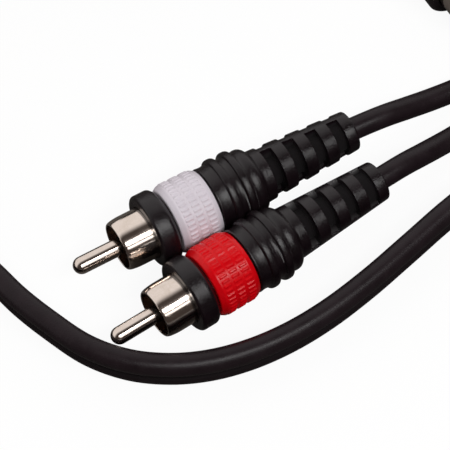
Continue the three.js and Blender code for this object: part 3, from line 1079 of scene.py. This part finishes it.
    def _mark_slot_shade_and_dullness(
        self, boot: bpy.types.Object, margin: float = 0.1, rim: float = 1.0, lip: float = 0.5
    ) -> None:
        """Marks how deep each point lies in a slot, from 0 on the cone to 1 on the slot's floor, as painted
        shade that darkens the slot and makes it duller.

        Args:
            boot: The finished boot.
            margin: Room round the slots and the bore, in millimetres.
            rim: Length at the boot's end that holds no slot, in millimetres.
            lip: Depth under the cone where the mark starts, in millimetres.
        """
        s = self.sizes
        shade_levels = []
        for vertex in boot.data.vertices:
            station = vertex.co.x / MM
            radius = math.hypot(vertex.co.y, vertex.co.z) / MM
            outer = self._cone_radius(station)
            inside = s.slot_at - margin < station < s.boot_end - rim and radius > s.cord_bore + margin
            shade_levels.append(ease(outer - radius, lip, outer - s.slot_floor) if inside else 0.0)
        mark(boot, "painted_shade_and_dullness", shade_levels)

    def _cone_radius(self, station: float) -> float:
        """Radius of the boot's cone at a station, both in millimetres.

        Args:
            station: Place along the plug's axis.

        Returns:
            The radius.
        """
        s = self.sizes
        share = (station - s.cone_at) / (s.boot_end - s.cone_at)
        return s.cone_radius + (s.end_radius - s.cone_radius) * share

    def _sink_slot(self, boot: bpy.types.Object, start: float) -> None:
        """Sinks one ring slot into the cone, on both sides of the webs.

        Args:
            boot: The turned boot.
            start: Station where the slot starts, in millimetres.
        """
        s = self.sizes
        outer = self._cone_radius(start + s.slot_width / 2)
        web_half = math.degrees(math.asin(s.web_width / 2 / outer))

        def in_slot(centre: Vector) -> bool:
            """Whether a face lies on the slot's footprint.

            Args:
                centre: The face's centre.

            Returns:
                True for a face of the slot.
            """
            in_band = start < centre.x / MM < start + s.slot_width
            outside = math.hypot(centre.y, centre.z) > s.slot_floor * MM
            return in_band and outside and web_half < bearing(centre) % 180.0 < 180.0 - web_half

        select_faces(boot, in_slot)
        bpy.ops.object.mode_set(mode="EDIT")
        bpy.ops.mesh.extrude_region_move(TRANSFORM_OT_translate={"value": (0.0, 0.0, 0.0)})
        share = s.slot_floor / outer
        middle = ((start + s.slot_width / 2) * MM, 0.0, 0.0)
        bpy.ops.transform.resize(value=(1.0, share, share), center_override=middle)
        bpy.ops.object.mode_set(mode="OBJECT")

    def lay_plug(self, plug: PlugPlace) -> list[bpy.types.Object]:
        """Sets a copy of every piece where a plug lies.

        Args:
            plug: The plug's name, channel and place.

        Returns:
            The placed pieces.
        """
        slots = {
            "centre_pin": Slot.NICKEL,
            "ground_shell": Slot.NICKEL,
            "insulator": Slot.DARK_INSULATOR,
            "core_moulding": Slot.BLACK_MOULDING,
            "colour_ring": plug.channel.value,
            "boot": Slot.BLACK_MOULDING,
        }
        matrix = plug.matrix(self.sizes)
        pieces = []
        for part, master in self.masters.items():
            piece = master.copy()
            piece.data = master.data.copy()
            piece.name = f"{plug.name}_{part}_piece"
            piece.data.name = piece.name
            bpy.context.collection.objects.link(piece)
            piece.data.transform(matrix)
            self.rack.dress(piece, slots[part])
            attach(piece, BODY)
            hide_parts(f"{plug.name}_{part}")
            pieces.append(piece)
        self.rack.dress_node(f"{plug.name}_inner_conductor", Slot.WIRE_INSULATION)
        self.rack.dress_node(f"{plug.name}_shield_pigtail", Slot.COPPER)
        LOG.info("%s plug: %d pieces", plug.name, len(pieces))
        return pieces

    def put_away(self) -> None:
        """Removes the modelled originals once every plug has its copies."""
        for piece in self.masters.values():
            bpy.data.objects.remove(piece, do_unlink=True)
        self.masters = {}


# Cords


def flow(points: list[Point3], spacing: float = 1.0) -> list[Vector]:
    """Runs a smooth curve through given points.

    Args:
        points: Points of the route in millimetres.
        spacing: About how far apart the curve's points are, in millimetres.

    Returns:
        Points of the curve, in metres.
    """
    knots = [Vector(point) for point in points]
    knots = [2 * knots[0] - knots[1], *knots, 2 * knots[-1] - knots[-2]]
    path = [knots[1] * MM]
    for p0, p1, p2, p3 in zip(knots, knots[1:], knots[2:], knots[3:]):
        d0, d1, d2 = ((b - a).length ** 0.5 for a, b in ((p0, p1), (p1, p2), (p2, p3)))
        t1 = ((p1 - p0) / d0 - (p2 - p0) / (d0 + d1) + (p2 - p1) / d1) * d1
        t2 = ((p2 - p1) / d1 - (p3 - p1) / (d1 + d2) + (p3 - p2) / d2) * d1
        count = max(2, round((p2 - p1).length / spacing))
        for k in range(1, count + 1):
            t = k / count
            bend = p1 + t1 * t + (3 * (p2 - p1) - 2 * t1 - t2) * t**2 + (2 * (p1 - p2) + t1 + t2) * t**3
            path.append(bend * MM)
    return path


def path_length(path: list[Vector]) -> float:
    """Length of a path in metres."""
    return sum((b - a).length for a, b in zip(path, path[1:]))


def ease(value: float, start: float, end: float) -> float:
    """Smooth step from 0 at start to 1 at end."""
    t = min(1.0, max(0.0, (value - start) / (end - start)))
    return t * t * (3 - 2 * t)


@dataclass
class CordMaker:
    """Makes the jackets of the single cords and of the twin cord as swept tubes.

    The diameter is a single cord's, in millimetres. The groove between the twin's halves starts so many
    degrees before they would meet, and its painted shade, which also dulls it, is full up to the first of two
    shares of the diameter from its middle and gone by the second.
    The lean of the twin cord on the table is in degrees.
    """

    rack: FinishRack
    diameter: float = 4.2
    groove: float = 18.0
    groove_painted_shade: Point2 = (0.135, 0.45)
    lean: float = 9.0

    def _sweep(
        self, name: str, path: list[Vector], ups: list[Vector], outline: list[Point2]
    ) -> bpy.types.Object:
        """Sweeps an outline along a path.

        Args:
            name: Name of the piece.
            path: Centreline in metres.
            ups: Direction of the outline's second axis at each point.
            outline: Section in metres: across the path, and along its up direction.

        Returns:
            The swept tube, closed at both ends.
        """
        count = len(outline)
        vertices: list[Vector] = []
        for i, point in enumerate(path):
            ahead = path[min(i + 1, len(path) - 1)] - path[max(i - 1, 0)]
            ahead.normalize()
            up = (ups[i] - ahead * ups[i].dot(ahead)).normalized()
            side = up.cross(ahead)
            vertices += [point + side * a + up * b for a, b in outline]
        faces: list[tuple[int, ...]] = []
        for ring in range(len(path) - 1):
            for k in range(count):
                a = ring * count + k
                b = ring * count + (k + 1) % count
                faces.append((a, b, b + count, a + count))
        faces.append(tuple(reversed(range(count))))
        faces.append(tuple((len(path) - 1) * count + k for k in range(count)))
        mesh = bpy.data.meshes.new(name)
        mesh.from_pydata(vertices, [], faces)
        piece = bpy.data.objects.new(name, mesh)
        bpy.context.collection.objects.link(piece)
        pick(piece)
        bpy.ops.object.mode_set(mode="EDIT")
        bpy.ops.mesh.select_all(action="SELECT")
        bpy.ops.mesh.normals_make_consistent(inside=False)
        bpy.ops.object.mode_set(mode="OBJECT")
        smooth(piece, 60.0)
        self.rack.dress(piece, Slot.BLACK_JACKET)
        return piece

    def round_outline(self, sides: int = 24) -> list[Point2]:
        """Section of a single cord in metres.

        Args:
            sides: How many points it has.

        Returns:
            Points round the section.
        """
        radius = self.diameter / 2 * MM
        angles = (math.tau * k / sides for k in range(sides))
        return [(radius * math.cos(a), radius * math.sin(a)) for a in angles]

    def twin_outline(self, steps: int = 24) -> list[Point2]:
        """Section of the twin cord in metres: two rounds with a groove between them.

        Args:
            steps: Straight pieces in each round.

        Returns:
            Points round the section.
        """
        radius = self.diameter / 2
        half = 180.0 - self.groove
        points = []
        for side in (1, -1):
            for k in range(steps + 1):
                angle = math.radians(half * (2 * k / steps - 1) + 90.0)
                across = radius * math.cos(angle)
                along = radius + radius * math.sin(angle)
                points.append((side * across * MM, side * along * MM))
        return points

    def single(self, name: str, path: list[Vector]) -> bpy.types.Object:
        """Makes a single cord along a path.

        Args:
            name: Name of the piece.
            path: Centreline in metres.

        Returns:
            The cord.
        """
        ups = [Vector((0.0, 0.0, 1.0))] * len(path)
        return self._sweep(name, path, ups, self.round_outline())

    def twin(self, name: str, path: list[Vector], lean: list[float]) -> bpy.types.Object:
        """Makes the twin cord standing on edge along a path.

        Args:
            name: Name of the piece.
            path: Centreline in metres.
            lean: Lean of the cord's top to the left of its travel at each point, in degrees.

        Returns:
            The cord.
        """
        ups = []
        for i, angle in enumerate(lean):
            ahead = path[min(i + 1, len(path) - 1)] - path[max(i - 1, 0)]
            left = Vector((-ahead.y, ahead.x, 0.0)).normalized()
            tilt = math.radians(angle)
            ups.append(Vector((0.0, 0.0, math.cos(tilt))) + left * math.sin(tilt))
        outline = self.twin_outline()
        piece = self._sweep(name, path, ups, outline)
        # Painted shade in the groove between the halves: darker and duller at the groove, fading out away
        # from it
        near, far = (share * self.diameter * MM for share in self.groove_painted_shade)
        shade_levels = [1.0 - ease(abs(along), near, far) for _, along in outline]
        mark(piece, "painted_shade_and_dullness", shade_levels * len(path))
        return piece


@dataclass
class CoilSizes:
    """The coil: two turns side by side and part of a third on top, in millimetres and degrees.

    It goes in, climbs and goes out again between two angles each.
    """

    x: float = 33.95
    y: float = 93.4
    outer: float = 34.2
    inner: float = 30.0
    top: float = 32.1
    height: float = 5.1
    start: float = 147.6
    sweep: float = 842.6
    step: float = 3.0
    nest: float = 7.7
    goes_in: Point2 = (308.0, 356.0)
    climbs: Point2 = (608.0, 690.0)
    goes_out: Point2 = (692.0, 735.0)

    def point(self, travel: float) -> Point3:
        """Centre of the twin cord after so many degrees round the coil, in millimetres.

        Args:
            travel: Degrees from the coil's start.

        Returns:
            The centre.
        """
        radius = self.outer + (self.inner - self.outer) * ease(travel, *self.goes_in)
        radius += (self.top - self.inner) * ease(travel, *self.goes_out)
        height = self.height + self.nest * ease(travel, *self.climbs)
        angle = math.radians(self.start - travel)
        return (self.x + radius * math.cos(angle), self.y + radius * math.sin(angle), height)

    def turns(self) -> list[Point3]:
        """Points of the whole coil, in millimetres."""
        count = round(self.sweep / self.step)
        return [self.point(self.sweep * k / count) for k in range(1, count + 1)]


# Routes of the cords where they aren't coiled, in millimetres
TWIN_ROUTE: list[Point2] = [
    (70.0, 0.4), (77.2, -1.2), (83.0, -5.7), (86.4, -12.2), (86.7, -19.6), (83.9, -26.4), (78.5, -31.3),
    (71.5, -33.5), (64.2, -32.6), (58.0, -28.6), (51.1, -20.5), (47.2, -17.4), (42.5, -16.1),
    (35.3, -17.0), (25.1, -19.15), (15.1, -21.2), (5.7, -22.5), (-2.7, -22.7), (-10.3, -21.8),
    (-17.1, -19.85), (-23.2, -16.75), (-28.75, -12.25), (-33.2, -6.1), (-36.3, 1.9), (-38.3, 8.7),
    (-39.3, 14.0), (-40.4, 20.3), (-40.5, 27.0), (-39.6, 34.0), (-37.5, 41.0), (-34.6, 48.1),
    (-30.8, 55.1), (-24.4, 65.3), (-18.0, 75.4), (-11.5, 85.5), (-4.6, 96.4),
]
NEAR_WHITE_ROUTE: list[Point3] = [
    (36.0, 5.35, 6.35), (41.3, 5.3, 4.8), (46.5, 5.3, 3.2), (51.7, 5.1, 2.25), (58.0, 4.5, 2.13),
    (64.0, 2.9, 2.13), (67.0, 1.6, 2.13), (69.3, 0.75, 2.13), (71.4, 0.1, 2.16),
]
NEAR_RED_ROUTE: list[Point3] = [
    (33.3, -5.2, 6.35), (38.3, -4.5, 4.8), (42.5, -3.8, 3.3), (46.5, -3.3, 2.4), (52.0, -2.8, 2.3),
    (58.0, -2.0, 3.4), (64.0, -0.6, 5.6), (67.0, 0.0, 6.4), (69.3, 0.3, 6.6), (71.4, 0.1, 6.34),
]
FAR_WHITE_ROUTE: list[Point3] = [
    (65.5, 66.0, 7.2), (65.65, 68.6, 8.1), (65.8, 71.8, 9.3), (65.85, 76.0, 11.1), (65.9, 80.5, 11.5),
    (65.95, 86.0, 11.2), (66.0, 92.6, 10.85), (65.5, 99.0, 10.72), (63.05, 106.97, 10.7),
]
FAR_RED_ROUTE: list[Point3] = [
    (78.8, 69.5, 7.0), (78.7, 73.0, 7.4), (77.2, 79.5, 8.9), (73.5, 88.5, 11.6), (70.6, 94.3, 13.4),
    (66.6, 101.5, 14.6), (63.05, 106.97, 14.9),
]


@dataclass
class TieSizes:
    """The strap round the coil: its bearing from the coil's middle in degrees, the rest in millimetres."""

    bearing: float = 112.5
    width: float = 7.0
    across: float = 9.5
    low: float = 0.3
    high: float = 17.6
    bend: float = 2.2
    wall: float = 0.9
    edge: float = 0.2


@dataclass
class Leads:
    """Lays the cords: four tails, the twin cord with its coil, and the tie round the coil.

    The twin cord stands a little clear of the table. It leans over within so many of its points, and
    stands up again between two counts of points before the coil. At the last point of its route and at
    the point that leads it into the coil, it rises.
    """

    rack: FinishRack
    maker: CordMaker
    sizes: PlugSizes
    coil: CoilSizes = field(default_factory=CoilSizes)
    tie: TieSizes = field(default_factory=TieSizes)
    clear: float = 0.03
    rises: Point2 = (0.25, 0.7)
    into_coil: Point2 = (0.4, 104.3)
    leans_within: int = 14
    stands_up: tuple[int, int] = (45, 4)

    def lay_twin(self) -> bpy.types.Object:
        """Lays the twin cord round the plugs and into its coil.

        Returns:
            The cord.
        """
        stand = self.maker.diameter + self.clear
        open_run = [(x, y, stand) for x, y in TWIN_ROUTE[:-1]]
        places = zip((TWIN_ROUTE[-1], self.into_coil), self.rises)
        lead_in = [(x, y, stand + rise) for (x, y), rise in places]
        path = flow(open_run + lead_in + [self.coil.point(0.0)], 1.1)
        open_count = len(path)
        path += [Vector(point) * MM for point in self.coil.turns()]
        start, end = (open_count - count for count in self.stands_up)
        lean = [
            self.maker.lean * ease(i, 0, self.leans_within) * (1 - ease(i, start, end))
            for i in range(len(path))
        ]
        piece = self.maker.twin("twin_cord_piece", path, lean)
        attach(piece, BODY)
        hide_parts("twin_cord", "cord_coil")
        LOG.info("twin cord: %.0f mm", path_length(path) / MM)
        return piece

    def lay_tail(
        self, plug: PlugPlace, route: list[Point3], far_end: FarEnd
    ) -> bpy.types.Object:
        """Lays a single cord between a plug's boot and the twin cord.

        Args:
            plug: The plug it comes out of.
            route: Its points from the boot onwards, in millimetres.
            far_end: What its far end is.

        Returns:
            The cord.
        """
        held = self.sizes.cord_held
        stations = (self.sizes.boot_end - back for back in (held, held / 2, 0.0))
        inside = [tuple(plug.on_axis(self.sizes, station) / MM) for station in stations]
        path = flow(inside + route, 0.9)
        if far_end is FarEnd.PLUG:
            path.reverse()
        piece = self.maker.single(f"{plug.name}_tail_piece", path)
        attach(piece, BODY)
        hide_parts(f"{plug.name}_tail")
        LOG.info("%s tail: %.0f mm", plug.name, path_length(path) / MM)
        return piece

    def build_tie(self) -> bpy.types.Object:
        """Builds the strap round the coil: a block with rounded edges, opened at both ends, given a wall.

        Returns:
            The strap.
        """
        s = self.tie
        deselect_all()
        bpy.ops.mesh.primitive_cube_add(size=1.0)
        tie = bpy.context.object
        tie.name = "coil_tie_piece"
        bpy.ops.object.mode_set(mode="EDIT")
        bpy.ops.transform.resize(value=(s.across * MM, s.width * MM, (s.high - s.low) * MM))
        bpy.ops.object.mode_set(mode="OBJECT")
        for edge in tie.data.edges:
            a, b = (tie.data.vertices[v].co for v in edge.vertices)
            edge.select = abs(a.y - b.y) > 0.5 * s.width * MM
        for face in tie.data.polygons:
            face.select = False
        bpy.ops.object.mode_set(mode="EDIT")
        bpy.ops.mesh.select_mode(type="EDGE")
        bpy.ops.mesh.bevel(offset=s.bend * MM, segments=8, affect="EDGES")
        bpy.ops.object.mode_set(mode="OBJECT")
        select_faces(tie, lambda centre: abs(centre.y) > 0.45 * s.width * MM)
        bpy.ops.object.mode_set(mode="EDIT")
        bpy.ops.mesh.delete(type="FACE")
        bpy.ops.object.mode_set(mode="OBJECT")
        bpy.ops.object.modifier_add(type="SOLIDIFY")
        solid = tie.modifiers[-1]
        solid.thickness = s.wall * MM
        solid.offset = -1.0
        bpy.ops.object.modifier_apply(modifier=solid.name)
        soften(tie, s.edge, 50.0)
        smooth(tie, 50.0)
        middle = Matrix.Translation((self.coil.x * MM, self.coil.y * MM, 0.0))
        turn_to = Matrix.Rotation(math.radians(s.bearing), 4, "Z")
        out = Matrix.Translation((self.coil.top * MM, 0.0, (s.low + s.high) / 2 * MM))
        tie.data.transform(middle @ turn_to @ out)
        self.rack.dress(tie, Slot.TIE_STRAP)
        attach(tie, BODY)
        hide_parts("coil_tie")
        LOG.info("coil tie built")
        return tie


# Studio


@dataclass(frozen=True)
class Panel:
    """A soft light: where it stands as a direction and distance in metres, its size and strength."""

    name: str
    direction: Point3
    distance: float
    width: float
    height: float
    radiance: float

    def hang(self) -> bpy.types.Object:
        """Hangs the light so that it faces the plugs.

        Returns:
            The light.
        """
        deselect_all()
        towards = Vector(self.direction).normalized()
        bpy.ops.object.light_add(type="AREA", location=towards * self.distance)
        lamp = bpy.context.object
        lamp.name = self.name
        lamp.data.shape = "RECTANGLE"
        lamp.data.size = self.width
        lamp.data.size_y = self.height
        lamp.data.energy = self.radiance * math.pi * self.width * self.height
        lamp.rotation_euler = towards.to_track_quat("Z", "Y").to_euler()
        lamp.visible_camera = False
        return lamp


@dataclass
class Studio:
    """The camera, floor, world and lights.

    The camera's places, lens and sensor are in millimetres, and its clip distances and the floor's radius
    in metres. The floor is pale to the camera and dark to all else, so that it doesn't wash out the blacks.
    """

    target: Point3 = (0.46, 2.62, 4.0)
    eye: Point3 = (-135.89, -213.67, 433.68)
    right: Point3 = (0.84321, -0.53757, -0.00303)
    lens: float = 224.54
    sensor: float = 36.0
    clip: Point2 = (0.01, 50.0)
    floor_radius: float = 6.0
    floor_glow: float = 0.93
    floor_reflected: Colour = (0.1, 0.095, 0.09)
    pale_side: Point3 = (0.0, 0.98, -0.2)
    side_blend: float = 0.22
    world_dark: Colour = (0.055, 0.044, 0.04)
    world_pale: Colour = (0.98, 0.96, 0.95)
    panels: tuple[Panel, ...] = (
        Panel("key_panel", (0.0, -0.559, 0.829), 1.4, 1.2, 0.34, 10.0),
        Panel("low_key_panel", (0.0, -0.799, 0.602), 1.4, 1.2, 0.22, 2.2),
    )

    def place_camera(self) -> None:
        """Sets the camera where the photograph was taken from, as fitted to it."""
        back = (Vector(self.eye) - Vector(self.target)).normalized()
        right = Vector(self.right)
        right = (right - back * right.dot(back)).normalized()
        up = back.cross(right)
        deselect_all()
        bpy.ops.object.camera_add(location=Vector(self.eye) * MM)
        camera = bpy.context.object
        camera.name = "photo_camera"
        camera.rotation_euler = Matrix((right, up, back)).transposed().to_euler()
        camera.data.sensor_width = self.sensor
        camera.data.lens = self.lens
        camera.data.clip_start, camera.data.clip_end = self.clip
        bpy.context.scene.camera = camera

    def lay_floor(self) -> None:
        """Lays a plain floor that keeps a soft shadow."""
        deselect_all()
        bpy.ops.mesh.primitive_circle_add(vertices=96, radius=self.floor_radius, fill_type="NGON")
        floor = bpy.context.object
        floor.name = "pale_floor"
        material, shader = clean_material("Pale floor")
        tree = material.node_tree
        set_inputs(shader, Roughness=0.8, Specular_IOR_Level=0.1)
        glow = add_node(tree, "ShaderNodeEmission", 300, -400)
        set_inputs(glow, Color=(1.0, 1.0, 1.0, 1.0), Strength=1.0)
        path = add_node(tree, "ShaderNodeLightPath", -300, 300)
        tone = add_node(tree, "ShaderNodeMix", 0, 100, data_type="RGBA")
        tone.inputs[MIX_FIRST].default_value = (*self.floor_reflected, 1.0)
        tone.inputs[MIX_SECOND].default_value = (1.0, 1.0, 1.0, 1.0)
        share = add_node(tree, "ShaderNodeMath", 200, 300, operation="MULTIPLY")
        share.inputs[1].default_value = self.floor_glow
        mix = add_node(tree, "ShaderNodeMixShader", 550, 200)
        links = tree.links
        links.new(path.outputs["Is Camera Ray"], tone.inputs["Factor"])
        links.new(tone.outputs[MIX_RESULT], shader.inputs["Base Color"])
        links.new(path.outputs["Is Camera Ray"], share.inputs[0])
        links.new(share.outputs[0], mix.inputs[0])
        links.new(shader.outputs["BSDF"], mix.inputs[1])
        links.new(glow.outputs["Emission"], mix.inputs[2])
        links.new(mix.outputs["Shader"], tree.nodes["Material Output"].inputs["Surface"])
        floor.data.materials.append(material)

    def light_world(self) -> None:
        """Gives the world a pale side behind the plugs and a dark side towards the camera."""
        world = bpy.data.worlds.new("Studio")
        bpy.context.scene.world = world
        world.use_nodes = True
        tree = world.node_tree
        background = tree.nodes["Background"]
        place = add_node(tree, "ShaderNodeTexCoord", -800, 0)
        side = add_node(tree, "ShaderNodeVectorMath", -600, 0, operation="DOT_PRODUCT")
        side.inputs[1].default_value = self.pale_side
        level = add_node(tree, "ShaderNodeMapRange", -400, 0, interpolation_type="SMOOTHSTEP")
        set_inputs(level, From_Min=-self.side_blend, From_Max=self.side_blend)
        ramp = add_node(tree, "ShaderNodeMix", -200, 0, data_type="RGBA")
        ramp.inputs[MIX_FIRST].default_value = (*self.world_dark, 1.0)
        ramp.inputs[MIX_SECOND].default_value = (*self.world_pale, 1.0)
        tree.links.new(place.outputs["Generated"], side.inputs[0])
        tree.links.new(side.outputs["Value"], level.inputs["Value"])
        tree.links.new(level.outputs["Result"], ramp.inputs["Factor"])
        tree.links.new(ramp.outputs[MIX_RESULT], background.inputs["Color"])

    def hang_lights(self) -> None:
        """Hangs two long narrow panels in front of the plugs, so that round metal shows a split highlight."""
        for panel in self.panels:
            panel.hang()

    def set_view(self) -> None:
        """Shows colours as they are written."""
        bpy.context.scene.view_settings.view_transform = "Standard"


PLUGS = [
    PlugPlace("near_white", Channel.WHITE, -4.6078, 7.0215, -2.1, 59.0),
    PlugPlace("near_red", Channel.RED, -6.3078, -6.9485, 2.1, 24.0),
    PlugPlace("far_white", Channel.WHITE, 64.6, 29.4, 88.6, 10.0),
    PlugPlace("far_red", Channel.RED, 79.0, 31.9, 90.4, 68.0),
]


def main() -> None:
    """Sets the camera, builds the plugs, the cords and the tie, and then lays the floor and the lights."""
    logging.basicConfig(level=logging.INFO, format="%(name)s: %(message)s")
    studio = Studio()
    studio.place_camera()
    rack = FinishRack()
    kit = PlugKit(rack)
    kit.build()
    placed = {plug.name: kit.lay_plug(plug) for plug in PLUGS}
    kit.put_away()
    near_white, near_red, far_white, far_red = PLUGS
    leads = Leads(rack, CordMaker(rack), kit.sizes)
    leads.lay_twin()
    leads.lay_tail(near_white, NEAR_WHITE_ROUTE, FarEnd.OBJECT)
    leads.lay_tail(near_red, NEAR_RED_ROUTE, FarEnd.OBJECT)
    for plug, route in ((far_white, FAR_WHITE_ROUTE), (far_red, FAR_RED_ROUTE)):
        leads.lay_tail(plug, route, FarEnd.PLUG)
    leads.build_tie()
    studio.lay_floor()
    studio.light_world()
    studio.hang_lights()
    studio.set_view()


if __name__ == "__main__":
    main()
